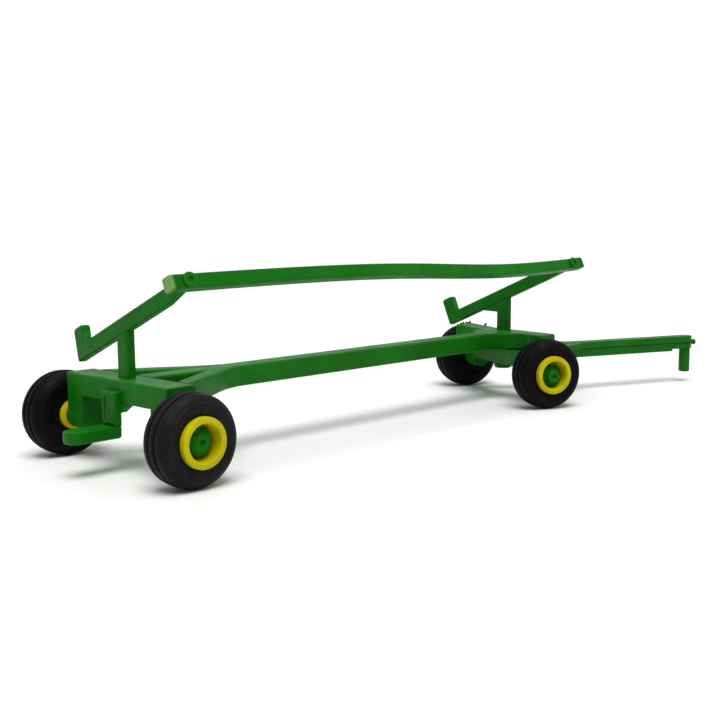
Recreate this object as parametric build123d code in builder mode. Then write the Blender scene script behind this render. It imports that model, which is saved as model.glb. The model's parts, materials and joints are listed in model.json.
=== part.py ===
from build123d import *
import math
import os

# Toy header transport cart, about 1:64, moulded in plastic, in millimetres.
# Origin: on the ground, under the middle of the rear axle. +X forward, towards the tongue,
# +Y to the cart's left, +Z up.

os.makedirs("parts", exist_ok=True)

# ---- Driving dimensions ------------------------------------------------------------------

WHEELBASE = 82.3
STEER_REST = 23.1          # degrees the front bogie stands turned to the right at rest
SEAM = 0.03                # glue line left where a bar meets the bowed rail

# Wheels
TYRE_RADIUS = 6.0
TYRE_WIDTH = 4.9
BEAD_RADIUS = 2.9
HALF_TRACK = 14.85         # cart's centre to a tyre's middle
AXLE_FACE = 11.8           # cart's centre to the face a wheel runs against
SIDEWALL_BULGE_RADIUS = 4.3
TREAD_HALF_WIDTH = 1.55
GROOVE_OFFSET = 0.62
GROOVE_WIDTH = 0.26
GROOVE_DEPTH = 0.3
SHOULDER_INSET = 0.28      # sidewall face in to the shoulder's start
SHOULDER_DROP = 0.85       # tread down to the shoulder's start
SHOULDER_BEND_INSET = 0.62
SHOULDER_BEND_DROP = 0.4
TREAD_EDGE_DROP = 0.16     # crown of the tread down to its edge
TREAD_QUARTER_DROP = 0.04
RIM_RADIUS = 3.26
RIM_FACE = 3.1             # tyre's middle out to the rim's outer face
FLANGE_BACK = 2.12         # tyre's middle out to the back of the rim's flange
BARREL_BACK = 1.6          # tyre's middle in to the end of the barrel under the tyre
DISH_MOUTH_RADIUS = 2.4
DISH_FLOOR_RADIUS = 2.05
DISH_FLOOR = 0.32
RIM_LIP_ROUND = 0.25
HUB_FACE = 2.9             # tyre's middle in to the hub's end, which runs against the leg
HUB_TAPER = 0.2            # length over which the hub narrows to that end
REAR_HUB_RADIUS = 2.1
REAR_HUB_END_RADIUS = 1.7
FRONT_HUB_RADIUS = 1.35
FRONT_HUB_END_RADIUS = 1.25
PEG_RADIUS = 1.0
PEG_CLEARANCE = 0.05       # radial, wheel on peg
PEG_HEAD_RADIUS = 1.82
PEG_HEAD_BACK = 0.85       # tyre's middle out to the back of a peg's head
PEG_HEAD_EDGE = 1.75       # and to the edge its dome rises from
PEG_SEAT_DEPTH = 3.0       # how far a peg goes into its leg
REAR_PEG_CROWN = 2.45      # tyre's middle out to the top of the dome
FRONT_PEG_CROWN = 2.9
PEG_DIMPLE_RADIUS = 0.48
PEG_DIMPLE_DEPTH = 0.45
AXLE_BOSS_RADIUS = 1.6
AXLE_BOSS_LENGTH = 3.6     # along the axle, in from the face a wheel runs against

# Chassis
FRAME_BOTTOM = 9.2
FRAME_TOP = 12.2
FRAME_DEPTH = FRAME_TOP - FRAME_BOTTOM
BEAM_WIDTH = 3.6
BEAM_FLARE = 6.0
REAR_CROSS_BACK = -1.3
REAR_CROSS_FRONT = 3.3
LEG_BOTTOM = 4.4
LEG_ROUND = 1.0
FRONT_CROSS_BACK = 80.0
FRONT_CROSS_FRONT = 84.6
FRONT_CROSS_LEFT = 9.6     # cart's centre to the cross-member's ends
FRONT_CROSS_RIGHT = 10.1
FRONT_CROSS_LEVEL = 1.8    # half-length of the level seat under the post
FRONT_CROSS_LEFT_TOP = 12.9
FRONT_CROSS_RIGHT_TOP = 12.0
BRACE_ANGLE = 32.5         # degrees off the main beam, in plan
BRACE_WIDTH = 2.45
BRACE_TIP = 16.8           # where a brace's outer side meets the main beam
BRACE_BLEND = 3.0          # length of the curve that runs a brace into the beam
EDGE = 0.4                 # rounding on the frame's moulded edges
CORNER = 0.5               # rounding on upright corners

# Rear hitch
HITCH_HALF_WIDTH = 1.65
HITCH_BACK = -2.3
HITCH_TOP = 10.8
HITCH_EDGE = 0.4
PANEL_WIDTH = 1.9
PANEL_HEIGHT = 3.2
PANEL_DEPTH = 0.15
WEB_TOP_HALF = 3.5
WEB_FOOT_HALF = 1.6
WEB_FOOT = 8.0
WEB_THICKNESS = 0.9
DRAWBAR_BOTTOM = 4.6
DRAWBAR_TOP = 6.25
DRAWBAR_BACK = -8.6
DRAWBAR_CORNER = 1.4

# Cradle: two posts, two sloping arms and the rail along their upper ends
REAR_MAST_X = 0.85
FRONT_MAST_X = 82.5
POST_LENGTH = 1.35         # along X
POST_WIDTH = 2.6           # along Y
REAR_GUSSET_REACH = 2.2    # out from the middle, under the arm's low side
FRONT_GUSSET_REACH = 4.8
GUSSET_LIP = 0.1
ARM_THICKNESS = 1.35       # along X
ARM_DEPTH = 2.1
ARM_EDGE = 0.25
ARM_SLOPE = 22.8           # degrees, rising towards the right-hand side
REAR_ARM_TOP = 20.3        # height of an arm's upper edge over the cart's middle
FRONT_ARM_TOP = 19.98
REAR_ARM_LOW_END = 12.9    # along the arm, from the middle to its low end
FRONT_ARM_LOW_END = 14.5
REAR_STOP_LEAN = 11.0      # degrees the stop leans in over the arm
FRONT_STOP_LEAN = 0.0
REAR_STOP_WIDTH = 2.85
FRONT_STOP_WIDTH = 2.5
REAR_STOP_HEIGHT = 2.4     # above the arm's upper edge
FRONT_STOP_HEIGHT = 2.9
STOP_ROUND = 0.5
ARM_HEEL = 3.2             # length over which an arm's underside rises to the rail's
RAIL_SIZE = 1.92
RAIL_EDGE = 0.3
RAIL_Y = -13.3
RAIL_BACK = -1.65
RAIL_FRONT = 86.7
RAIL_AT_REAR_MAST = 25.16
RAIL_AT_FRONT_MAST = 24.43
RAIL_BOW = (                # along the cart, height of the rail's middle
    (RAIL_BACK, 25.12),
    (REAR_MAST_X, RAIL_AT_REAR_MAST),
    (20.0, 25.34),
    (42.0, 25.03),
    (63.0, 24.19),
    (FRONT_MAST_X, RAIL_AT_FRONT_MAST),
    (RAIL_FRONT, 24.6),
)
REAR_RAIL_PEG_X = 1.0
FRONT_RAIL_PEG_X = 83.6
RAIL_PEG_HEAD_RADIUS = 1.05
RAIL_PEG_HEAD_HEIGHT = 0.35
RAIL_PEG_DIMPLE_RADIUS = 0.4
RAIL_PEG_DIMPLE_DEPTH = 0.25

# Front bogie, in its own directions: ahead along the tongue, across along the axle
KINGPIN_RADIUS = 1.1
KINGPIN_CLEARANCE = 0.05
KINGPIN_TOP = 11.4
KINGPIN_HEAD_RADIUS = 1.65
KINGPIN_HEAD_BOTTOM = 5.25
KINGPIN_HEAD_TOP = 6.3
KINGPIN_HEAD_CHAMFER = 0.35
BOLSTER_BOTTOM = 6.35
BOLSTER_TOP = 9.12
BOLSTER_HALF_WIDTH = 2.0
TONGUE_BOTTOM = 6.35
TONGUE_MIDDLE = 8.0
TONGUE_TOP = 9.2
TONGUE_UPPER_JOIN = 17.5   # where the two arms run together
TONGUE_LOWER_JOIN = 14.5
TONGUE_LOWER_END = 37.8
TONGUE_UPPER_WIDTH = 2.6
TONGUE_LOWER_WIDTH = 2.2
TONGUE_ARM_WIDTH = 1.9
TONGUE_ARM_FOOT = 8.6      # across, where an arm leaves the bolster
TIP_BOTTOM = 6.75
HITCH_PIN_AHEAD = 41.6
HITCH_PIN_RADIUS = 1.05
HITCH_PIN_BOTTOM = 2.0
HITCH_PIN_ROUND = 0.3
HITCH_PIN_SHOULDER = 6.65
SPIGOT_RADIUS = 0.8        # the pin's narrower upper end, seated in the tongue
SPIGOT_SEAT = 1.6
NUB_RADIUS = 0.55
NUB_LENGTH = 1.0
NUB_ROOT = 0.2             # how far the nub starts inside the tongue
NUB_HEIGHT = 7.85


# ---- Shared helpers ----------------------------------------------------------------------

def finish(builder, node):
    """Label a finished piece and write it to its own file."""
    builder.part.label = node
    export_step(builder.part, f"parts/{node}.step")


turn = math.radians(STEER_REST)
ahead = Vector(math.cos(turn), -math.sin(turn), 0)
across = Vector(math.sin(turn), math.cos(turn), 0)


def bogie_plane(height):
    """Level plane over the kingpin: x runs ahead along the tongue, y across to the left."""
    return Plane(origin=(WHEELBASE, 0, height), x_dir=ahead, z_dir=(0, 0, 1))


def axle_plane(centre, outward):
    """Plane through the axle line: x runs outward along the axle, y runs up."""
    return Plane(origin=centre, x_dir=outward, z_dir=outward.cross(Vector(0, 0, 1)))


# ---- Chassis: beam, braces and cross-members ---------------------------------------------

with BuildPart() as main_beam:
    with BuildSketch(Plane.XY.offset(FRAME_BOTTOM)):
        with BuildLine():
            side = BEAM_WIDTH / 2
            flare_start = (FRONT_CROSS_BACK - BEAM_FLARE, side)
            flare_end = (FRONT_CROSS_BACK, side + BEAM_FLARE)
            Polyline((REAR_CROSS_FRONT, 0), (REAR_CROSS_FRONT, side), flare_start)
            TangentArc(flare_start, flare_end, tangent=(1, 0))
            Line(flare_end, (FRONT_CROSS_BACK, 0))
            mirror(about=Plane.XZ)
        make_face()
    extrude(amount=FRAME_DEPTH)
    fillet(main_beam.edges().filter_by(Axis.X), EDGE)
finish(main_beam, "main_beam")


def make_brace(hand):
    """One arm of the fork that steadies the rear cross-member. hand is +1 left, -1 right."""
    angle = math.radians(BRACE_ANGLE)
    slope = math.tan(angle)
    root = BEAM_WIDTH / 2
    spread = BRACE_WIDTH / math.cos(angle)
    reach = (BRACE_TIP - REAR_CROSS_FRONT) * slope
    blend_start = (BRACE_TIP + BRACE_BLEND, hand * root)
    blend_end = (BRACE_TIP - BRACE_BLEND * math.cos(angle), hand * (root + BRACE_BLEND * math.sin(angle)))
    with BuildPart() as brace:
        with BuildSketch(Plane.XY.offset(FRAME_BOTTOM)):
            with BuildLine():
                TangentArc(blend_start, blend_end, tangent=(-1, 0))
                Polyline(
                    blend_end,
                    (REAR_CROSS_FRONT, hand * (root + reach)),
                    (REAR_CROSS_FRONT, hand * (root + reach - spread)),
                    (BRACE_TIP - spread / slope, hand * root),
                    blend_start,
                )
            make_face()
        extrude(amount=FRAME_DEPTH)
        along = Axis((0, 0, 0), (math.cos(angle), -hand * math.sin(angle), 0))
        fillet(brace.edges().filter_by(along), EDGE)
    return brace


finish(make_brace(1), "fork_brace_left")
finish(make_brace(-1), "fork_brace_right")

with BuildPart() as rear_crossbeam:
    with BuildSketch(Plane.XY.offset(FRAME_BOTTOM)):
        with Locations(((REAR_CROSS_BACK + REAR_CROSS_FRONT) / 2, 0)):
            Rectangle(REAR_CROSS_FRONT - REAR_CROSS_BACK, 2 * AXLE_FACE)
    extrude(amount=FRAME_DEPTH)
    for end in (1, -1):
        # leg with a round boss for the axle peg; the plane's y runs up
        with BuildSketch(Plane(origin=(0, end * AXLE_FACE, 0), x_dir=(1, 0, 0), z_dir=(0, -1, 0))) as leg:
            with BuildLine():
                Polyline(
                    (REAR_CROSS_BACK, FRAME_BOTTOM),
                    (REAR_CROSS_BACK, LEG_BOTTOM),
                    (REAR_CROSS_FRONT, LEG_BOTTOM),
                    (REAR_CROSS_FRONT, FRAME_BOTTOM),
                    close=True,
                )
            make_face()
            fillet(leg.vertices().group_by(Axis.Y)[0], LEG_ROUND)
            with Locations((0, TYRE_RADIUS)):
                Circle(AXLE_BOSS_RADIUS)
        extrude(amount=end * AXLE_BOSS_LENGTH)
        with Locations(Plane(origin=(0, end * AXLE_FACE, TYRE_RADIUS), z_dir=(0, end, 0))):
            Hole(PEG_RADIUS, depth=PEG_SEAT_DEPTH)
    fillet(rear_crossbeam.edges().filter_by(Axis.Y).group_by(Axis.Z)[-1], EDGE)
finish(rear_crossbeam, "rear_crossbeam")

with BuildPart() as front_crossbeam:
    # seen from behind: level under the post, rising to the left end and falling to the right
    with BuildSketch(Plane(origin=(FRONT_CROSS_BACK, 0, 0), x_dir=(0, 1, 0), z_dir=(1, 0, 0))):
        with BuildLine():
            Polyline(
                (-FRONT_CROSS_RIGHT, FRAME_BOTTOM),
                (FRONT_CROSS_LEFT, FRAME_BOTTOM),
                (FRONT_CROSS_LEFT, FRONT_CROSS_LEFT_TOP),
                (FRONT_CROSS_LEVEL, FRAME_TOP),
                (-FRONT_CROSS_LEVEL, FRAME_TOP),
                (-FRONT_CROSS_RIGHT, FRONT_CROSS_RIGHT_TOP),
                close=True,
            )
        make_face()
    extrude(amount=FRONT_CROSS_FRONT - FRONT_CROSS_BACK)
    fillet(front_crossbeam.edges().filter_by(Axis.Z), CORNER)
    ends = front_crossbeam.faces().filter_by(Axis.Y)
    fillet([end_face.edges().sort_by(Axis.Z)[-1] for end_face in ends], EDGE)
    with Locations(Plane(origin=(WHEELBASE, 0, FRAME_BOTTOM), z_dir=(0, 0, -1))):
        Hole(KINGPIN_RADIUS, depth=KINGPIN_TOP - FRAME_BOTTOM)
finish(front_crossbeam, "front_crossbeam")

# ---- Rear hitch --------------------------------------------------------------------------

with BuildPart() as rear_hitch_bracket:
    with BuildSketch(Plane.XY.offset(DRAWBAR_TOP)):
        with Locations(((HITCH_BACK + REAR_CROSS_BACK) / 2, 0)):
            Rectangle(REAR_CROSS_BACK - HITCH_BACK, 2 * HITCH_HALF_WIDTH)
    extrude(amount=HITCH_TOP - DRAWBAR_TOP)
    fillet(rear_hitch_bracket.faces().sort_by(Axis.X)[0].edges(), HITCH_EDGE)
    # shallow moulded panel in the back of the bracket
    panel_middle = (HITCH_BACK, 0, (HITCH_TOP + DRAWBAR_TOP) / 2)
    with BuildSketch(Plane(origin=panel_middle, x_dir=(0, 1, 0), z_dir=(-1, 0, 0))):
        Rectangle(PANEL_WIDTH, PANEL_HEIGHT)
    extrude(amount=-PANEL_DEPTH, mode=Mode.SUBTRACT)
    # web under the cross-member that spreads the bracket's load
    with BuildSketch(Plane(origin=(REAR_CROSS_BACK, 0, 0), x_dir=(0, 1, 0), z_dir=(1, 0, 0))):
        with BuildLine():
            Polyline(
                (-WEB_TOP_HALF, FRAME_BOTTOM),
                (-WEB_FOOT_HALF, WEB_FOOT),
                (WEB_FOOT_HALF, WEB_FOOT),
                (WEB_TOP_HALF, FRAME_BOTTOM),
                close=True,
            )
        make_face()
    extrude(amount=WEB_THICKNESS)
finish(rear_hitch_bracket, "rear_hitch_bracket")

with BuildPart() as rear_drawbar:
    with BuildSketch(Plane.XY.offset(DRAWBAR_BOTTOM)) as tang:
        with Locations(((DRAWBAR_BACK + REAR_CROSS_BACK) / 2, 0)):
            Rectangle(REAR_CROSS_BACK - DRAWBAR_BACK, 2 * HITCH_HALF_WIDTH)
        fillet(tang.vertices().sort_by(Axis.X)[:2], DRAWBAR_CORNER)
    extrude(amount=DRAWBAR_TOP - DRAWBAR_BOTTOM)
    fillet(rear_drawbar.faces().sort_by(Axis.Z)[0].edges(), HITCH_EDGE)
finish(rear_drawbar, "rear_drawbar")

# ---- Cradle ------------------------------------------------------------------------------


def arm_plane(mast_x, arm_top):
    """Upright plane across the cart: x runs up the arm to its high end, y square to its top."""
    slope = math.radians(ARM_SLOPE)
    return Plane(
        origin=(mast_x - ARM_THICKNESS / 2, 0, arm_top),
        x_dir=(0, -math.cos(slope), math.sin(slope)),
        z_dir=(-1, 0, 0),
    )


def rail_seat(arm_top, rail_height):
    """Where the rail's lower near corner meets an arm, in the arm's plane."""
    slope = math.radians(ARM_SLOPE)
    along = -RAIL_Y * math.cos(slope) + (rail_height - arm_top) * math.sin(slope)
    above = RAIL_Y * math.sin(slope) + (rail_height - arm_top) * math.cos(slope)
    return along - RAIL_SIZE / 2 - SEAM, above - RAIL_SIZE / 2


def make_arm(mast_x, arm_top, rail_height, low_end, stop_lean, stop_width, stop_height):
    """A flat sloping bar with an upturned stop at its low end."""
    reach, heel = rail_seat(arm_top, rail_height)
    lean = math.tan(math.radians(stop_lean))
    outer = -low_end
    inner = outer + stop_width
    with BuildPart() as arm:
        with BuildSketch(arm_plane(mast_x, arm_top)) as outline:
            with BuildLine():
                Polyline(
                    (outer, -ARM_DEPTH),
                    (reach - ARM_HEEL, -ARM_DEPTH),
                    (reach, heel),
                    (reach, 0),
                    (inner, 0),
                    (inner + lean * stop_height, stop_height),
                    (outer + lean * (stop_height + ARM_DEPTH), stop_height),
                    close=True,
                )
            make_face()
            fillet(outline.vertices().group_by(Axis.Y)[-1], STOP_ROUND)
            fillet(outline.vertices().group_by(Axis.Y)[0].sort_by(Axis.X)[0], STOP_ROUND / 2)
        extrude(amount=-ARM_THICKNESS)
        side_faces = arm.faces().filter_by(Axis.X)
        fillet(side_faces[0].edges() + side_faces[1].edges(), ARM_EDGE)
    return arm


def make_post(mast_x, arm_top, gusset_reach):
    """An upright post with a small gusset under the arm, its head cut to the arm's slope."""
    slope = math.tan(math.radians(ARM_SLOPE))
    underside = arm_top - ARM_DEPTH / math.cos(math.radians(ARM_SLOPE))
    half = POST_WIDTH / 2
    gusset_foot = underside - slope * gusset_reach
    upright = Plane(origin=(mast_x - POST_LENGTH / 2, 0, 0), x_dir=(0, 1, 0), z_dir=(1, 0, 0))
    with BuildPart() as post:
        with BuildSketch(upright):
            with BuildLine():
                Polyline(
                    (-half, FRAME_TOP),
                    (half, FRAME_TOP),
                    (half, gusset_foot - GUSSET_LIP),
                    (gusset_reach, gusset_foot),
                    (-half, underside + slope * half),
                    close=True,
                )
            make_face()
        extrude(amount=POST_LENGTH)
        fillet(post.edges().filter_by(Axis.Z), EDGE)
    return post


rear_mast = (REAR_MAST_X, REAR_ARM_TOP)
front_mast = (FRONT_MAST_X, FRONT_ARM_TOP)
rear_post = make_post(*rear_mast, gusset_reach=REAR_GUSSET_REACH)
front_post = make_post(*front_mast, gusset_reach=FRONT_GUSSET_REACH)
rear_stop = (REAR_ARM_LOW_END, REAR_STOP_LEAN, REAR_STOP_WIDTH, REAR_STOP_HEIGHT)
front_stop = (FRONT_ARM_LOW_END, FRONT_STOP_LEAN, FRONT_STOP_WIDTH, FRONT_STOP_HEIGHT)
rear_arm = make_arm(*rear_mast, RAIL_AT_REAR_MAST, *rear_stop)
front_arm = make_arm(*front_mast, RAIL_AT_FRONT_MAST, *front_stop)
finish(rear_post, "rear_post")
finish(front_post, "front_post")
finish(rear_arm, "rear_cradle_arm")
finish(front_arm, "front_cradle_arm")

rise = math.radians(ARM_SLOPE)
up_the_arm = Vector(0, -math.cos(rise), math.sin(rise))

with BuildPart() as header_rail:
    with BuildLine() as bow:
        Spline(*[(x, RAIL_Y, z) for x, z in RAIL_BOW])
    with BuildSketch(Plane(origin=bow.line @ 0, x_dir=up_the_arm, z_dir=bow.line % 0)):
        RectangleRounded(RAIL_SIZE, RAIL_SIZE, RAIL_EDGE)
    sweep()
finish(header_rail, "header_rail")

with BuildPart() as rail_pegs:
    rail_middles = (
        Vector(REAR_RAIL_PEG_X, RAIL_Y, RAIL_AT_REAR_MAST),
        Vector(FRONT_RAIL_PEG_X, RAIL_Y, RAIL_AT_FRONT_MAST),
    )
    for rail_middle in rail_middles:
        seat = rail_middle + up_the_arm * (RAIL_SIZE / 2 + SEAM)
        with BuildSketch(Plane(origin=seat, z_dir=up_the_arm)):
            Circle(RAIL_PEG_HEAD_RADIUS)
        extrude(amount=RAIL_PEG_HEAD_HEIGHT)
        with Locations(Plane(origin=seat + up_the_arm * RAIL_PEG_HEAD_HEIGHT, z_dir=up_the_arm)):
            Hole(RAIL_PEG_DIMPLE_RADIUS, depth=RAIL_PEG_DIMPLE_DEPTH)
finish(rail_pegs, "rail_pegs")

# ---- Steering: kingpin, bolster and tongue -----------------------------------------------

with BuildPart() as kingpin:
    with BuildSketch(Plane(origin=(WHEELBASE, 0, 0), x_dir=(1, 0, 0), z_dir=(0, -1, 0))):
        with BuildLine():
            Polyline(
                (0, KINGPIN_HEAD_BOTTOM),
                (KINGPIN_HEAD_RADIUS - KINGPIN_HEAD_CHAMFER, KINGPIN_HEAD_BOTTOM),
                (KINGPIN_HEAD_RADIUS, KINGPIN_HEAD_BOTTOM + KINGPIN_HEAD_CHAMFER),
                (KINGPIN_HEAD_RADIUS, KINGPIN_HEAD_TOP),
                (KINGPIN_RADIUS, KINGPIN_HEAD_TOP),
                (KINGPIN_RADIUS, KINGPIN_TOP),
                (0, KINGPIN_TOP),
                close=True,
            )
        make_face()
    revolve(axis=Axis((WHEELBASE, 0, 0), (0, 0, 1)))
finish(kingpin, "kingpin")

with BuildPart() as bolster:
    with BuildSketch(bogie_plane(BOLSTER_BOTTOM)):
        RectangleRounded(2 * BOLSTER_HALF_WIDTH, 2 * AXLE_FACE, CORNER)
    extrude(amount=BOLSTER_TOP - BOLSTER_BOTTOM)
    for end in (1, -1):
        outward = across * end
        end_face = Vector(WHEELBASE, 0, TYRE_RADIUS) + outward * AXLE_FACE
        # boss for the axle peg, run up into the bolster; the plane's y runs up
        with BuildSketch(Plane(origin=end_face, x_dir=ahead * -end, z_dir=outward)):
            Circle(AXLE_BOSS_RADIUS)
            with Locations((0, AXLE_BOSS_RADIUS / 2)):
                Rectangle(2 * AXLE_BOSS_RADIUS, AXLE_BOSS_RADIUS)
        extrude(amount=-AXLE_BOSS_LENGTH)
        with Locations(Plane(origin=end_face, z_dir=outward)):
            Hole(PEG_RADIUS, depth=PEG_SEAT_DEPTH)
    with Locations(Plane(origin=(WHEELBASE, 0, BOLSTER_TOP))):
        Hole(KINGPIN_RADIUS + KINGPIN_CLEARANCE)
finish(bolster, "bolster")


def tongue_arms(height, width, join):
    """Plan of the tongue's two arms, from the bolster's front to where they run together."""
    root = BOLSTER_HALF_WIDTH
    crotch = join - TONGUE_ARM_WIDTH
    with BuildSketch(bogie_plane(height)) as outline:
        for hand in (1, -1):
            with BuildLine():
                Polyline(
                    (root, hand * (TONGUE_ARM_FOOT + TONGUE_ARM_WIDTH / 2)),
                    (root, hand * (TONGUE_ARM_FOOT - TONGUE_ARM_WIDTH / 2)),
                    (crotch - TONGUE_ARM_WIDTH, 0),
                    (crotch, 0),
                    (join, hand * width / 2),
                    close=True,
                )
            make_face()
    return outline.sketch


def tongue_bar(height, width, start, end):
    """Plan of a straight length of the tongue's bar."""
    with BuildSketch(bogie_plane(height)) as outline:
        with Locations(((start + end) / 2, 0)):
            Rectangle(end - start, width)
    return outline.sketch


lower_arms = tongue_arms(TONGUE_BOTTOM, TONGUE_LOWER_WIDTH, TONGUE_LOWER_JOIN)
upper_arms = tongue_arms(TONGUE_MIDDLE, TONGUE_UPPER_WIDTH, TONGUE_UPPER_JOIN)
crotch = TONGUE_LOWER_JOIN - TONGUE_ARM_WIDTH
lower_bar = tongue_bar(TONGUE_BOTTOM, TONGUE_LOWER_WIDTH, crotch, TONGUE_LOWER_END)
upper_bar = tongue_bar(TONGUE_MIDDLE, TONGUE_UPPER_WIDTH, crotch, HITCH_PIN_AHEAD)
tip_bar = tongue_bar(TIP_BOTTOM, TONGUE_LOWER_WIDTH, TONGUE_LOWER_END, HITCH_PIN_AHEAD)

with BuildPart() as tongue:
    extrude(lower_arms, amount=TONGUE_MIDDLE - TONGUE_BOTTOM)
    extrude(upper_arms, amount=BOLSTER_TOP - TONGUE_MIDDLE)
    extrude(lower_bar, amount=TONGUE_MIDDLE - TONGUE_BOTTOM)
    extrude(upper_bar, amount=TONGUE_TOP - TONGUE_MIDDLE)
    extrude(tip_bar, amount=TONGUE_MIDDLE - TIP_BOTTOM)
    with BuildSketch(bogie_plane(TIP_BOTTOM)):
        with Locations((HITCH_PIN_AHEAD, 0)):
            Circle(TONGUE_UPPER_WIDTH / 2)
    extrude(amount=TONGUE_TOP - TIP_BOTTOM)
    # moulding nub on the very tip
    nub_root = HITCH_PIN_AHEAD + TONGUE_UPPER_WIDTH / 2 - NUB_ROOT
    with BuildSketch(Plane(origin=Vector(WHEELBASE, 0, NUB_HEIGHT) + ahead * nub_root, z_dir=ahead)):
        Circle(NUB_RADIUS)
    extrude(amount=NUB_ROOT + NUB_LENGTH)
    with Locations(bogie_plane(TIP_BOTTOM)):
        with Locations((HITCH_PIN_AHEAD, 0)):
            Hole(SPIGOT_RADIUS, depth=SPIGOT_SEAT)
finish(tongue, "tongue")

with BuildPart() as hitch_pin:
    with BuildSketch(bogie_plane(HITCH_PIN_BOTTOM)):
        with Locations((HITCH_PIN_AHEAD, 0)):
            Circle(HITCH_PIN_RADIUS)
    extrude(amount=HITCH_PIN_SHOULDER - HITCH_PIN_BOTTOM)
    fillet(hitch_pin.edges().sort_by(Axis.Z)[0], HITCH_PIN_ROUND)
    with BuildSketch(bogie_plane(HITCH_PIN_SHOULDER)):
        with Locations((HITCH_PIN_AHEAD, 0)):
            Circle(SPIGOT_RADIUS)
    extrude(amount=TIP_BOTTOM + SPIGOT_SEAT - HITCH_PIN_SHOULDER)
finish(hitch_pin, "hitch_pin")

# ---- Wheels and the pegs they turn on ----------------------------------------------------


def make_tyre(centre, outward, hub_radius):
    """Ribbed implement tyre: bulging sidewalls, rounded shoulders, two grooves round the tread.

    Its outer bead sits behind the rim's flange; its inner wall closes in round the hub.
    """
    half = TYRE_WIDTH / 2
    flange_edge = (FLANGE_BACK, RIM_RADIUS)
    shoulder = (half - SHOULDER_INSET, TYRE_RADIUS - SHOULDER_DROP)
    shoulder_bend = (half - SHOULDER_BEND_INSET, TYRE_RADIUS - SHOULDER_BEND_DROP)
    tread_edge = (TREAD_HALF_WIDTH, TYRE_RADIUS - TREAD_EDGE_DROP)
    tread_quarter = (TREAD_HALF_WIDTH / 2, TYRE_RADIUS - TREAD_QUARTER_DROP)
    section = axle_plane(centre, outward)
    axle = Axis(centre, outward)
    with BuildPart() as tyre:
        with BuildSketch(section):
            with BuildLine():
                ThreePointArc(flange_edge, (half, SIDEWALL_BULGE_RADIUS), shoulder)
                ThreePointArc(shoulder, shoulder_bend, tread_edge)
                ThreePointArc(tread_edge, tread_quarter, (0, TYRE_RADIUS))
                mirror(about=Plane.YZ)
                Polyline(
                    flange_edge,
                    (FLANGE_BACK, BEAD_RADIUS),
                    (-BARREL_BACK, BEAD_RADIUS),
                    (-BARREL_BACK, hub_radius),
                    (-FLANGE_BACK, hub_radius),
                    (-FLANGE_BACK, RIM_RADIUS),
                )
            make_face()
        revolve(axis=axle)
        with BuildSketch(section):
            with Locations((GROOVE_OFFSET, TYRE_RADIUS), (-GROOVE_OFFSET, TYRE_RADIUS)):
                Rectangle(GROOVE_WIDTH, 2 * GROOVE_DEPTH)
        revolve(axis=axle, mode=Mode.SUBTRACT)
    return tyre


def make_rim(centre, outward, hub_radius, hub_end_radius):
    """One-piece rim: outer flange with an open dish, barrel under the tyre, tapered hub inside."""
    bore = PEG_RADIUS + PEG_CLEARANCE
    with BuildPart() as rim:
        with BuildSketch(axle_plane(centre, outward)):
            with BuildLine():
                Polyline(
                    (-HUB_FACE, bore),
                    (-HUB_FACE, hub_end_radius),
                    (HUB_TAPER - HUB_FACE, hub_radius),
                    (-BARREL_BACK, hub_radius),
                    (-BARREL_BACK, BEAD_RADIUS),
                    (FLANGE_BACK, BEAD_RADIUS),
                    (FLANGE_BACK, RIM_RADIUS),
                    (RIM_FACE, RIM_RADIUS),
                    (RIM_FACE, DISH_MOUTH_RADIUS),
                    (DISH_FLOOR, DISH_FLOOR_RADIUS),
                    (DISH_FLOOR, bore),
                    close=True,
                )
            make_face()
        revolve(axis=Axis(centre, outward))
        lip = rim.faces().filter_by(GeomType.PLANE).sort_by(Axis(centre, outward))[-1]
        fillet(lip.edges(), RIM_LIP_ROUND)
    return rim


def peg_outline(centre, outward, crown):
    """Section of one axle peg, from its seat in the leg to its domed head in the rim's dish."""
    seat = AXLE_FACE - PEG_SEAT_DEPTH - HALF_TRACK
    dome_edge = (PEG_HEAD_EDGE, PEG_HEAD_RADIUS)
    dimple_edge = (crown, PEG_DIMPLE_RADIUS)
    with BuildSketch(axle_plane(centre, outward)) as outline:
        with BuildLine():
            Polyline(
                (crown - PEG_DIMPLE_DEPTH, 0),
                (seat, 0),
                (seat, PEG_RADIUS),
                (PEG_HEAD_BACK, PEG_RADIUS),
                (PEG_HEAD_BACK, PEG_HEAD_RADIUS),
                dome_edge,
            )
            TangentArc(dimple_edge, dome_edge, tangent=(0, 1))
            Polyline(
                dimple_edge,
                (crown - PEG_DIMPLE_DEPTH, PEG_DIMPLE_RADIUS / 2),
                (crown - PEG_DIMPLE_DEPTH, 0),
            )
        make_face()
    return outline.sketch


left = Vector(0, 1, 0)
rear_axle_middle = Vector(0, 0, TYRE_RADIUS)
front_axle_middle = Vector(WHEELBASE, 0, TYRE_RADIUS)
axles = {
    "rear": (rear_axle_middle, left, REAR_HUB_RADIUS, REAR_HUB_END_RADIUS, REAR_PEG_CROWN),
    "front": (front_axle_middle, across, FRONT_HUB_RADIUS, FRONT_HUB_END_RADIUS, FRONT_PEG_CROWN),
}

for axle_name, (middle, sideways, hub_radius, hub_end_radius, crown) in axles.items():
    for side_name, outward in (("left", sideways), ("right", -sideways)):
        centre = middle + outward * HALF_TRACK
        finish(make_tyre(centre, outward, hub_radius), f"{axle_name}_{side_name}_tyre")
        finish(make_rim(centre, outward, hub_radius, hub_end_radius), f"{axle_name}_{side_name}_rim")
    with BuildPart() as pegs:
        for outward in (sideways, -sideways):
            centre = middle + outward * HALF_TRACK
            revolve(peg_outline(centre, outward, crown), axis=Axis(centre, outward))
    finish(pegs, f"{axle_name}_axle_pegs")
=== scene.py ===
import json
import math

import bmesh
import bpy
from mathutils import Matrix, Vector


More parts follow.
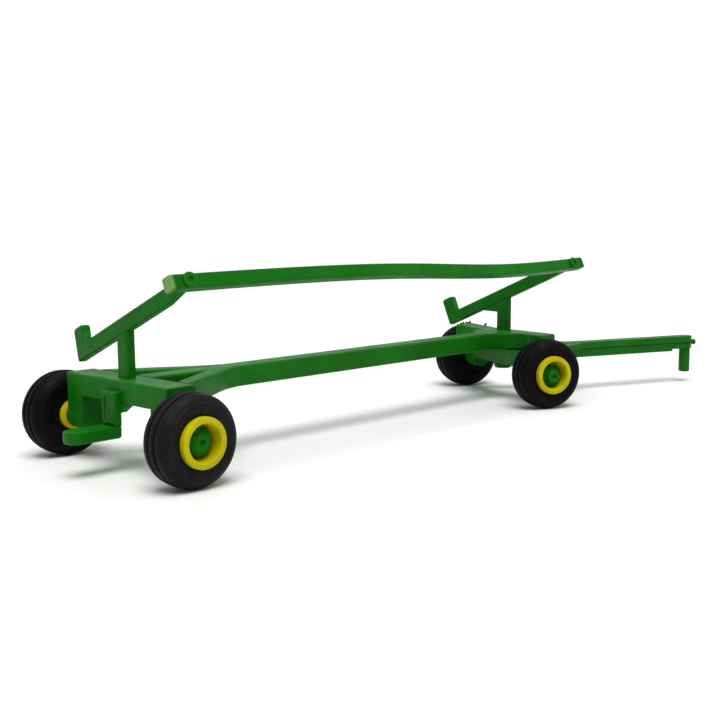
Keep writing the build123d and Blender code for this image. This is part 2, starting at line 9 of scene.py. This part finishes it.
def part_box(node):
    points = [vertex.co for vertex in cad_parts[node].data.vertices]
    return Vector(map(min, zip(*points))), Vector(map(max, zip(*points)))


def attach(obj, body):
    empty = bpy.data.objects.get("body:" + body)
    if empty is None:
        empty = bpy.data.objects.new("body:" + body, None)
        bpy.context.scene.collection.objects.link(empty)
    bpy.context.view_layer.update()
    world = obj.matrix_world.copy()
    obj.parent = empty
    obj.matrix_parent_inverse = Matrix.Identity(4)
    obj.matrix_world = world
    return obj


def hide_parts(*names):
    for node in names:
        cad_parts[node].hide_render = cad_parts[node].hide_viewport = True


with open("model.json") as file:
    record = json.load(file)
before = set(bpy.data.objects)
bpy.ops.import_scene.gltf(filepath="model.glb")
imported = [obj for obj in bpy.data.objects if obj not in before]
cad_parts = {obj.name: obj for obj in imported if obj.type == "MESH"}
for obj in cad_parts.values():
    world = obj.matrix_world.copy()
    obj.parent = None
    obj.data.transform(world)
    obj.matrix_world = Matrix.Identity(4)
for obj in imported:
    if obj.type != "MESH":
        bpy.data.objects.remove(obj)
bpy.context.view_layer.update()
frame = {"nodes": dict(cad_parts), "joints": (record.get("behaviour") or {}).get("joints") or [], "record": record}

# A moulded toy header cart. Profiles and sizes are in millimetres; pieces are placed from the frame.
MM = 0.001
WHEEL_TURNS = 160           # steps round a wheel
PIN_TURNS = 64              # steps round a peg or pin
SHARP_ANGLE = math.radians(38)      # edges that turn more than this are shaded sharp, or rounded off
FLAT_ANGLE = math.radians(0.4)      # faces that turn less than this are joined into one
WELD = 0.002                # vertices closer than this are one
BEVEL_STEPS = 3

JOINTS = {joint["name"]: joint for joint in frame["joints"]}
BODY_OF = {node: body for body, nodes in frame["record"]["behaviour"]["bodies"].items() for node in nodes}


# ---- Places from the frame ---------------------------------------------------------------

def middle(node):
    """Middle of a CAD node's box."""
    low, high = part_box(node)
    return (low + high) / 2


def wheel_axis(wheel):
    """Unit vector along a wheel's axle, pointing away from the cart."""
    axis = Vector(JOINTS[f"{wheel}_spin"]["axis"]).normalized()
    return axis if wheel.endswith("left") else -axis


ACROSS = wheel_axis("front_left")
AHEAD = Vector((ACROSS.y, -ACROSS.x, 0))
UP = Vector((0, 0, 1))


# ---- Mesh helpers ------------------------------------------------------------------------

def arc(x, r, radius, start, end, steps=6):
    """Points on an arc round (x, r); angles in degrees from the +x direction."""
    angles = [math.radians(start + (end - start) * i / steps) for i in range(steps + 1)]
    return [(x + radius * math.cos(angle), r + radius * math.sin(angle)) for angle in angles]


def smooth_through(points, steps=5):
    """Catmull-Rom curve through the given points."""
    padded = [points[0], *points, points[-1]]
    curve = []
    for i in range(1, len(padded) - 2):
        a, b, c, d = (Vector(p) for p in padded[i - 1:i + 3])
        for k in range(steps):
            t = k / steps
            curve.append(tuple(0.5 * (2 * b + (c - a) * t + (2 * a - 5 * b + 4 * c - d) * t * t
                                      + (3 * b - a - 3 * c + d) * t ** 3)))
    return [*curve, tuple(points[-1])]


def new_piece(name, bm, body, material, replaced):
    """Turn a bmesh into a smooth-shaded piece that rides on a body in place of CAD nodes."""
    bmesh.ops.recalc_face_normals(bm, faces=bm.faces)
    mesh = bpy.data.meshes.new(name)
    bm.to_mesh(mesh)
    bm.free()
    mesh.shade_smooth()
    mesh.set_sharp_from_angle(angle=SHARP_ANGLE)
    mesh.materials.append(material)
    piece = bpy.data.objects.new(name, mesh)
    bpy.context.scene.collection.objects.link(piece)
    weighted = piece.modifiers.new("even_shading", "WEIGHTED_NORMAL")
    weighted.keep_sharp = True
    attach(piece, body)
    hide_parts(*replaced)
    return piece


def lathe(bm, outline, centre, axis, turns, head=None, sag=0.0):
    """Turn a closed outline of (along, radius) points about an axis through centre.

    Rings beyond head, along the axis, sit lower by sag.
    """
    side = axis.orthogonal().normalized()
    other = axis.cross(side)
    rings = []
    for along, radius in outline:
        foot = centre + axis * (along * MM)
        if head is not None and along >= head:
            foot = foot - UP * (sag * MM)
        if radius < 1e-6:
            rings.append([bm.verts.new(foot)] * turns)
            continue
        angles = [2 * math.pi * i / turns for i in range(turns)]
        spokes = [side * math.cos(angle) + other * math.sin(angle) for angle in angles]
        rings.append([bm.verts.new(foot + spoke * (radius * MM)) for spoke in spokes])
    for here, there in zip(rings, rings[1:] + rings[:1]):
        for i in range(turns):
            j = (i + 1) % turns
            corners = list(dict.fromkeys((here[i], here[j], there[j], there[i])))
            if len(corners) > 2:
                bm.faces.new(corners)


def cone(bm, foot, direction, radius, length):
    """A small leaning nib, such as a torn feed gate."""
    turn = direction.to_track_quat("Z", "Y").to_matrix().to_4x4()
    place = Matrix.Translation(foot + direction * (length * MM / 2)) @ turn
    tip = radius * MM * 0.35
    bmesh.ops.create_cone(bm, cap_ends=True, segments=12, radius1=radius * MM, radius2=tip,
                          depth=length * MM, matrix=place)


def moulded(node, material, edge):
    """Rework a CAD node's mesh as a clean moulding with its remaining sharp edges rounded."""
    source = frame["nodes"][node]
    bm = bmesh.new()
    bm.from_mesh(source.data)
    bm.transform(source.matrix_world)
    bmesh.ops.remove_doubles(bm, verts=bm.verts, dist=WELD * MM)
    bmesh.ops.dissolve_limit(bm, angle_limit=FLAT_ANGLE, verts=bm.verts, edges=bm.edges)
    bm.normal_update()
    outside = [e for e in bm.edges if e.is_manifold and e.is_convex]
    sharp = [e for e in outside if e.calc_face_angle() > SHARP_ANGLE]
    bmesh.ops.bevel(bm, geom=sharp, offset=edge * MM, offset_type="OFFSET", segments=BEVEL_STEPS,
                    profile=0.5, affect="EDGES", clamp_overlap=True)
    return new_piece(f"{node}_moulded", bm, BODY_OF[node], material, [node])


# ---- Materials ---------------------------------------------------------------------------

def noise(tree, coords, scale, detail=3.0, roughness=0.55):
    node = tree.nodes.new("ShaderNodeTexNoise")
    node.inputs["Scale"].default_value = scale
    node.inputs["Detail"].default_value = detail
    node.inputs["Roughness"].default_value = roughness
    tree.links.new(coords, node.inputs["Vector"])
    return node.outputs["Fac"]


def ramp(tree, value, low, high, from_low=0.3, from_high=0.7):
    node = tree.nodes.new("ShaderNodeMapRange")
    ends = {"From Min": from_low, "From Max": from_high, "To Min": low, "To Max": high}
    for socket, number in ends.items():
        node.inputs[socket].default_value = number
    tree.links.new(value, node.inputs["Value"])
    return node.outputs["Result"]


def times(tree, first, second):
    node = tree.nodes.new("ShaderNodeMath")
    node.operation = "MULTIPLY"
    tree.links.new(first, node.inputs[0])
    tree.links.new(second, node.inputs[1])
    return node.outputs["Value"]


def mix_colour(tree, factor, first, second):
    node = tree.nodes.new("ShaderNodeMix")
    node.data_type = "RGBA"
    tree.links.new(factor, node.inputs["Factor"])
    for socket, value in ((node.inputs["A"], first), (node.inputs["B"], second)):
        if isinstance(value, tuple):
            socket.default_value = (*value, 1.0)
        else:
            tree.links.new(value, socket)
    return node.outputs["Result"]


def bump(tree, height, distance, strength, normal=None):
    node = tree.nodes.new("ShaderNodeBump")
    node.inputs["Distance"].default_value = distance * MM
    node.inputs["Strength"].default_value = strength
    tree.links.new(height, node.inputs["Height"])
    if normal is not None:
        tree.links.new(normal, node.inputs["Normal"])
    return node.outputs["Normal"]


def edge_mask(tree, width):
    """1 where the surface turns a corner, 0 on the flat."""
    bevel = tree.nodes.new("ShaderNodeBevel")
    bevel.samples = 4
    bevel.inputs["Radius"].default_value = width * MM
    geometry = tree.nodes.new("ShaderNodeNewGeometry")
    dot = tree.nodes.new("ShaderNodeVectorMath")
    dot.operation = "DOT_PRODUCT"
    tree.links.new(bevel.outputs["Normal"], dot.inputs[0])
    tree.links.new(geometry.outputs["Normal"], dot.inputs[1])
    return ramp(tree, dot.outputs["Value"], 1.0, 0.0, 0.82, 0.995)


def start_material(name):
    material = bpy.data.materials.new(name)
    material.use_nodes = True
    tree = material.node_tree
    coords = tree.nodes.new("ShaderNodeTexCoord").outputs["Object"]
    return material, tree, tree.nodes["Principled BSDF"], coords


def along_axis(tree, coords, axis, low, high, from_low, from_high):
    """A ramp along one of the object's axes, in millimetres."""
    split = tree.nodes.new("ShaderNodeSeparateXYZ")
    tree.links.new(coords, split.inputs["Vector"])
    return ramp(tree, split.outputs[axis], low, high, from_low * MM, from_high * MM)


RUBBED = (0.12, 0.3, 0.1)
# painted shade, for a band just ahead of the rail's lit end
SHADED = (0.003, 0.06, 0.002)
# painted highlight, for the rail's lit rear end
PAINTED_HIGHLIGHT = (0.2, 0.42, 0.12)
# painted shade, for the line under the tongue's step
SEAM_SHADE = (0.001, 0.03, 0.001)


def plastic(name, colour, deep, worn, roughness, specular, grain, scuffed=0.0, pale_end=None, seam=None):
    """Injection-moulded plastic: flow marks in the colour, fine grain, paler scuffed edges.

    scuffed is how much the faces that look up are rubbed pale, pale_end a length along the cart behind
    which a highlight is painted on the plastic, with a band of painted shade ahead of it, and seam the
    height of the step where two layers meet, with a line of shade painted under it.
    """
    material, tree, shader, coords = start_material(name)
    flow = ramp(tree, noise(tree, coords, 110.0, 4.0), 0.0, 1.0, 0.35, 0.65)
    base = mix_colour(tree, flow, colour, deep)
    streaks = ramp(tree, noise(tree, coords, 520.0, 6.0, 0.7), 0.0, 0.55, 0.5, 0.7)
    base = mix_colour(tree, streaks, base, deep)
    scuffs = ramp(tree, noise(tree, coords, 420.0, 5.0, 0.7), 0.0, 1.0, 0.46, 0.66)
    base = mix_colour(tree, times(tree, edge_mask(tree, 0.22), scuffs), base, worn)
    if scuffed:
        split = tree.nodes.new("ShaderNodeSeparateXYZ")
        tree.links.new(tree.nodes.new("ShaderNodeNewGeometry").outputs["Normal"], split.inputs["Vector"])
        upward = ramp(tree, split.outputs["Z"], 0.0, scuffed, 0.75, 0.95)
        patches = ramp(tree, noise(tree, coords, 240.0, 6.0, 0.8), 0.0, 1.0, 0.46, 0.7)
        base = mix_colour(tree, times(tree, upward, patches), base, RUBBED)
    # a band of painted shade ahead of the rail's end, and a painted highlight on the end itself
    if pale_end is not None:
        shade = along_axis(tree, coords, "X", 0.65, 0.0, pale_end + 0.3, pale_end + 1.5)
        base = mix_colour(tree, shade, base, SHADED)
        pale = along_axis(tree, coords, "X", 0.8, 0.0, pale_end - 0.3, pale_end + 0.3)
        base = mix_colour(tree, pale, base, PAINTED_HIGHLIGHT)
    # a thin line of painted shade just under the step at height seam
    if seam is not None:
        below = along_axis(tree, coords, "Z", 0.0, 1.0, seam - 0.3, seam - 0.08)
        above = along_axis(tree, coords, "Z", 1.0, 0.0, seam - 0.04, seam + 0.1)
        base = mix_colour(tree, times(tree, below, above), base, SEAM_SHADE)
    tree.links.new(base, shader.inputs["Base Color"])
    shine = ramp(tree, noise(tree, coords, 260.0, 4.0), roughness - 0.07, roughness + 0.09)
    tree.links.new(shine, shader.inputs["Roughness"])
    shader.inputs["Specular IOR Level"].default_value = specular
    wave = bump(tree, noise(tree, coords, 150.0, 2.0), 0.2, 0.25)
    tree.links.new(bump(tree, noise(tree, coords, 2200.0, 3.0), 0.03, grain, wave), shader.inputs["Normal"])
    return material


def tyre_rubber(name, tone, dusty, specular):
    """Matt black soft plastic with a fine grain and a little dust in its hollows."""
    material, tree, shader, coords = start_material(name)
    black = tuple(tone * part for part in (1.0, 0.92, 1.04))
    dust = ramp(tree, noise(tree, coords, 300.0, 5.0, 0.7), 0.0, 0.7, 0.46, 0.7)
    base = mix_colour(tree, dust, black, tuple(dusty * part for part in black))
    worn = mix_colour(tree, edge_mask(tree, 0.18), base, tuple(2.0 * dusty * part for part in black))
    tree.links.new(worn, shader.inputs["Base Color"])
    tree.links.new(ramp(tree, noise(tree, coords, 500.0, 3.0), 0.5, 0.74), shader.inputs["Roughness"])
    shader.inputs["Specular IOR Level"].default_value = specular
    wave = bump(tree, noise(tree, coords, 240.0, 2.0), 0.2, 0.35)
    tree.links.new(bump(tree, noise(tree, coords, 2600.0, 3.0), 0.04, 0.6, wave), shader.inputs["Normal"])
    return material


GREEN_TONE = (0.006, 0.142, 0.0045)
DEEP_GREEN = (0.004, 0.105, 0.003)
WORN_GREEN = (0.035, 0.2, 0.03)
GREEN_FINISH = (0.38, 0.08, 0.35)                        # roughness, specular level, grain
YELLOW_TONES = ((0.52, 0.47, 0.001), (0.42, 0.37, 0.001), (0.6, 0.55, 0.02))
# behind this length the rail's end gets a painted highlight
RAIL_PALE_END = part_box("header_rail")[0].x / MM + 0.32   # the rail is pale behind this
TONGUE_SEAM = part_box("tongue")[0].z / MM + 1.65          # where the tongue's upper layer starts

GREEN_MIX = (GREEN_TONE, DEEP_GREEN, WORN_GREEN, *GREEN_FINISH)
GREEN = plastic("green_plastic", *GREEN_MIX)
GREEN_UNWORN = plastic("green_plastic_unworn", GREEN_TONE, DEEP_GREEN, GREEN_TONE, *GREEN_FINISH)
GREEN_SCUFFED = plastic("green_plastic_scuffed", *GREEN_MIX, scuffed=0.6)
GREEN_RAIL = plastic("green_plastic_rail", *GREEN_MIX, pale_end=RAIL_PALE_END)
GREEN_TONGUE = plastic("green_plastic_tongue", *GREEN_MIX, seam=TONGUE_SEAM)
YELLOW = plastic("yellow_plastic", *YELLOW_TONES, 0.36, 0.1, 0.25)
BLACK = tyre_rubber("tyre_rubber", 0.0012, 2.6, 0.09)
# a paler copy of the same tyre rubber, used on the near rear tyre only
BLACK_PALER = tyre_rubber("tyre_rubber_paler", 0.0034, 2.2, 0.16)


# ---- Wheels ------------------------------------------------------------------------------

HUBS = {"rear": (2.1, 1.7), "front": (1.35, 1.25)}       # radius of the hub, and of its inner end
COLLARS = {"rear": 0.0, "front": 0.72}                   # how far a tyre's inner wall follows its hub
CROWNS = {                                               # peg heads, from the edge of the dome to the dimple
    "rear": [(1.62, 1.82), (1.8, 1.79), (1.95, 1.66), (2.33, 1.2), (2.43, 0.8), (2.45, 0.58)],
    "front": [
        (1.62, 1.82), (1.8, 1.78), (2.0, 1.6), (2.2, 1.3),
        (2.45, 1.16), (2.75, 1.08), (2.87, 0.9), (2.9, 0.58),
    ],
}
HEAD_BACK = 0.85            # where a peg's head starts, out from the wheel's middle
FRONT_HEAD_SAG = 0.22       # how far the front heads hang; their shanks lean to meet them, into the bores
TREAD = 5.8                 # radius the flash stands on, just under the tread
FLASH = (                    # angle forward of the top, sideways, radius of the nib, length
    (-15, 0.4, 0.42, 0.5), (-9, 0.2, 0.45, 0.6), (-3, 0.4, 0.45, 0.66), (3, 0.2, 0.45, 0.7),
    (8, 0.4, 0.42, 0.66), (11, 0.6, 0.36, 0.95), (16, 0.3, 0.42, 0.6), (22, 0.2, 0.4, 0.5),
    (31, -1.6, 0.42, 1.45),
)


def tyre_outline(hub, collar):
    """Closed tyre section: bead, bulging sidewall with a thin ring, shoulder, ribs, closed inner wall.

    collar is how far the inner wall follows the hub out towards the leg.
    """
    side = [(2.14, 3.28), (2.24, 3.36), (2.36, 3.6), (2.42, 3.9), (2.45, 4.3), (2.43, 4.66)]
    ring = [(2.42, 4.78), (2.46, 4.82), (2.46, 4.9), (2.39, 4.95)]
    shoulder = [(2.36, 5.02), (2.16, 5.36), (1.92, 5.6), (1.68, 5.77), (1.52, 5.84)]
    rib_edge = [(1.15, 5.91), (0.88, 5.945), (0.82, 5.91), (0.77, 5.68)]
    groove = [(0.7, 5.63), (0.54, 5.63), (0.48, 5.68), (0.43, 5.92), (0.37, 5.97), (0.2, 5.995)]
    half = smooth_through(side, 4) + ring + smooth_through(shoulder, 4) + rib_edge + groove
    other = [(-x, r) for x, r in reversed(half)]
    inner_wall = [(-2.1, 3.1), (-2.12, hub + 0.4), (-2.16, hub + 0.24), (-2.1 - collar, hub + 0.16),
                  (-2.14 - collar, hub + 0.01), (-1.62, hub + 0.01), (-1.62, 2.92)]
    return half + [(0.0, 6.0)] + other + inner_wall + [(2.1, 2.92), (2.1, 3.2)]


def rim_outline(hub, hub_end):
    """Closed rim section: rounded proud lip, open dish, bored and tapered hub, barrel under the tyre."""
    lip = arc(2.86, 3.04, 0.22, 90, 20, 5) + [(3.09, 2.95)] + arc(2.86, 2.63, 0.24, 25, -80, 8)
    dish = [(2.68, 2.35), (0.46, 2.08), (0.35, 2.03), (0.32, 1.95), (0.32, 1.06)]
    end = [(-2.9, 1.06), (-2.9, hub_end - 0.05), (-2.86, hub_end), (-2.72, hub - 0.04), (-2.66, hub)]
    barrel = [(-1.64, hub), (-1.64, 2.89), (2.13, 2.89), (2.13, 3.22), (2.18, 3.26)]
    return lip + dish + end + barrel


def peg_outline(dome):
    """Closed peg section: blind shank and a domed head with a dimple in its middle."""
    crown = dome[-1][0]
    dimple = [(crown - 0.03, 0.5), (crown - 0.16, 0.42), (crown - 0.4, 0.3), (crown - 0.45, 0.16)]
    head = [(HEAD_BACK, 1.0), (HEAD_BACK, 1.76), (HEAD_BACK + 0.06, 1.82)]
    return [(-6.04, 0.0), (-6.04, 1.0), *head, *smooth_through(dome, 4), *dimple, (crown - 0.45, 0.0)]


def add_flash(bm, centre, axis):
    """Ragged flash left standing off the tread where the mould closed."""
    fore = axis.cross(UP)
    if fore.dot(AHEAD) < 0:
        fore = -fore
    for forward, sideways, radius, length in FLASH:
        angle = math.radians(forward)
        out = UP * math.cos(angle) + fore * math.sin(angle)
        cone(bm, centre + out * (TREAD * MM) + axis * (sideways * MM), out, radius, length)


def build_wheels():
    for wheel in ("rear_left", "rear_right", "front_left", "front_right"):
        axle = wheel.split("_")[0]
        axis = wheel_axis(wheel)
        centre = middle(f"{wheel}_tyre")
        bm = bmesh.new()
        lathe(bm, tyre_outline(HUBS[axle][0], COLLARS[axle]), centre, axis, WHEEL_TURNS)
        if wheel == "front_left":
            add_flash(bm, centre, axis)
        black = BLACK_PALER if wheel == "rear_right" else BLACK
        new_piece(f"{wheel}_tyre_ribbed", bm, f"{wheel}_wheel", black, [f"{wheel}_tyre"])
        bm = bmesh.new()
        lathe(bm, rim_outline(*HUBS[axle]), centre, axis, WHEEL_TURNS)
        new_piece(f"{wheel}_rim_dished", bm, f"{wheel}_wheel", YELLOW, [f"{wheel}_rim"])


def upright_pin(name, node, outline):
    """A pin turned about the vertical through its CAD node's middle, standing on the node's lowest point."""
    foot = Vector((middle(node).x, middle(node).y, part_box(node)[0].z))
    bm = bmesh.new()
    lathe(bm, outline, foot, UP, PIN_TURNS)
    new_piece(name, bm, BODY_OF[node], GREEN, [node])


def height(node):
    low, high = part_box(node)
    return (high.z - low.z) / MM


def build_pegs():
    for axle, sag in (("rear", 0.0), ("front", FRONT_HEAD_SAG)):
        bm = bmesh.new()
        for hand in ("left", "right"):
            wheel = f"{axle}_{hand}"
            outline = peg_outline(CROWNS[axle])
            lathe(bm, outline, middle(f"{wheel}_tyre"), wheel_axis(wheel), PIN_TURNS, HEAD_BACK, sag)
        node = f"{axle}_axle_pegs"
        new_piece(f"{node}_domed", bm, BODY_OF[node], GREEN, [node])


def build_kingpin():
    top = height("kingpin")
    head = [(0.0, 1.3), (0.12, 1.5), (0.35, 1.62), (0.6, 1.65), (1.0, 1.65), (1.05, 1.6), (1.05, 1.1)]
    outline = [(0.0, 0.0), *head, (top - 0.1, 1.1), (top, 1.0), (top, 0.0)]
    upright_pin("kingpin_headed", "kingpin", outline)


def build_hitch_pin():
    top = height("hitch_pin")
    seat = top - 1.66                                    # the spigot above this is held in the tongue
    foot = arc(0.3, 0.75, 0.3, 180, 90, 6)
    shoulder = [(seat - 0.06, 1.05), (seat, 0.99), (seat, 0.8)]
    outline = [(0.0, 0.0), *foot, *shoulder, (top, 0.8), (top, 0.0)]
    upright_pin("hitch_pin_rounded", "hitch_pin", outline)


# ---- Bars and brackets -------------------------------------------------------------------

BARS = {                     # rounding added to the edges the CAD leaves sharp, and the finish
    "main_beam": (0.12, GREEN),
    "fork_brace_left": (0.12, GREEN_UNWORN),
    "fork_brace_right": (0.12, GREEN_UNWORN),
    "rear_crossbeam": (0.15, GREEN_SCUFFED),
    "front_crossbeam": (0.15, GREEN_SCUFFED),
    "rear_hitch_bracket": (0.08, GREEN),
    "rear_drawbar": (0.15, GREEN),
    "rear_post": (0.1, GREEN),
    "front_post": (0.1, GREEN),
    "rear_cradle_arm": (0.08, GREEN),
    "front_cradle_arm": (0.08, GREEN),
    "header_rail": (0.2, GREEN_RAIL),
    "rail_pegs": (0.16, GREEN),
    "bolster": (0.18, GREEN),
    "tongue": (0.2, GREEN_TONGUE),
}


def build_bars():
    for node, (edge, material) in BARS.items():
        moulded(node, material, edge)


# ---- Stage, light and camera -------------------------------------------------------------

CAMERA_PLACE = Vector((-77.02, -120.67, 32.43)) * MM
CAMERA_YAW = math.radians(44.69)
CAMERA_DOWN = math.radians(7.47)
CAMERA_ROLL = math.radians(-0.499)
CAMERA_LENS = 53.33
SENSOR = 36
FLOOR_TONE = (0.8, 0.8, 0.79, 1)
FLOOR_HALF = 6.0            # metres
TENT_BRIGHT = 0.68
TENT_DIM = 0.1
DIM_SIDE = math.radians(25)         # the tent is dimmest this far to the right of straight behind
BACKDROP_STRENGTH = 2.0     # what the camera sees of the tent; it doesn't light the cart
SUN_STRENGTH = 3.0
SUN_ANGLE = math.radians(40)        # wide, so the shadows are soft
SUN_TURN = (math.radians(15), math.radians(-13), 0)


def build_camera():
    yaw, down, roll = CAMERA_YAW, CAMERA_DOWN, CAMERA_ROLL
    view = Vector((math.cos(yaw) * math.cos(down), math.sin(yaw) * math.cos(down), -math.sin(down)))
    level = Vector((math.sin(yaw), -math.cos(yaw), 0))
    upright = level.cross(view)
    right = level * math.cos(roll) + upright * math.sin(roll)
    top = upright * math.cos(roll) - level * math.sin(roll)
    data = bpy.data.cameras.new("camera")
    data.lens = CAMERA_LENS
    data.sensor_width = SENSOR
    data.clip_start = 0.001
    data.clip_end = 20
    camera = bpy.data.objects.new("camera", data)
    turn = Matrix((right, top, -view)).transposed().to_4x4()
    camera.matrix_world = Matrix.Translation(CAMERA_PLACE) @ turn
    bpy.context.scene.collection.objects.link(camera)
    bpy.context.scene.camera = camera
    # no tone curve on the colours
    bpy.context.scene.view_settings.view_transform = "Standard"


def build_floor():
    material, _, shader, _ = start_material("pale_floor")
    shader.inputs["Base Color"].default_value = FLOOR_TONE
    shader.inputs["Roughness"].default_value = 0.6
    shader.inputs["Specular IOR Level"].default_value = 0.1
    bm = bmesh.new()
    bmesh.ops.create_grid(bm, x_segments=1, y_segments=1, size=FLOOR_HALF)
    mesh = bpy.data.meshes.new("floor")
    bm.to_mesh(mesh)
    bm.free()
    mesh.materials.append(material)
    floor = bpy.data.objects.new("floor", mesh)
    bpy.context.scene.collection.objects.link(floor)


def build_tent():
    """A white light tent all round, dimmer behind the cart."""
    world = bpy.data.worlds.new("studio")
    world.use_nodes = True
    tree = world.node_tree
    sky = tree.nodes["Background"]
    sky.inputs["Color"].default_value = (1, 1, 1, 1)
    toward = tree.nodes.new("ShaderNodeVectorMath")
    toward.operation = "DOT_PRODUCT"
    toward.inputs[1].default_value = (-math.cos(DIM_SIDE), -math.sin(DIM_SIDE), 0)
    tree.links.new(tree.nodes.new("ShaderNodeTexCoord").outputs["Generated"], toward.inputs[0])
    strength = ramp(tree, toward.outputs["Value"], TENT_BRIGHT, TENT_DIM, -0.2, 0.9)
    tree.links.new(strength, sky.inputs["Strength"])
    backdrop = tree.nodes.new("ShaderNodeBackground")
    backdrop.inputs["Strength"].default_value = BACKDROP_STRENGTH
    seen = tree.nodes.new("ShaderNodeLightPath")
    mix = tree.nodes.new("ShaderNodeMixShader")
    tree.links.new(seen.outputs["Is Camera Ray"], mix.inputs["Fac"])
    tree.links.new(sky.outputs["Background"], mix.inputs[1])
    tree.links.new(backdrop.outputs["Background"], mix.inputs[2])
    tree.links.new(mix.outputs["Shader"], tree.nodes["World Output"].inputs["Surface"])
    bpy.context.scene.world = world


def build_overhead():
    sun = bpy.data.lights.new("overhead", "SUN")
    sun.energy = SUN_STRENGTH
    sun.angle = SUN_ANGLE
    lamp = bpy.data.objects.new("overhead", sun)
    lamp.rotation_euler = SUN_TURN
    bpy.context.scene.collection.objects.link(lamp)


build_wheels()
build_pegs()
build_kingpin()
build_hitch_pin()
build_bars()
build_floor()
build_tent()
build_overhead()
build_camera()

bpy.context.view_layer.update()
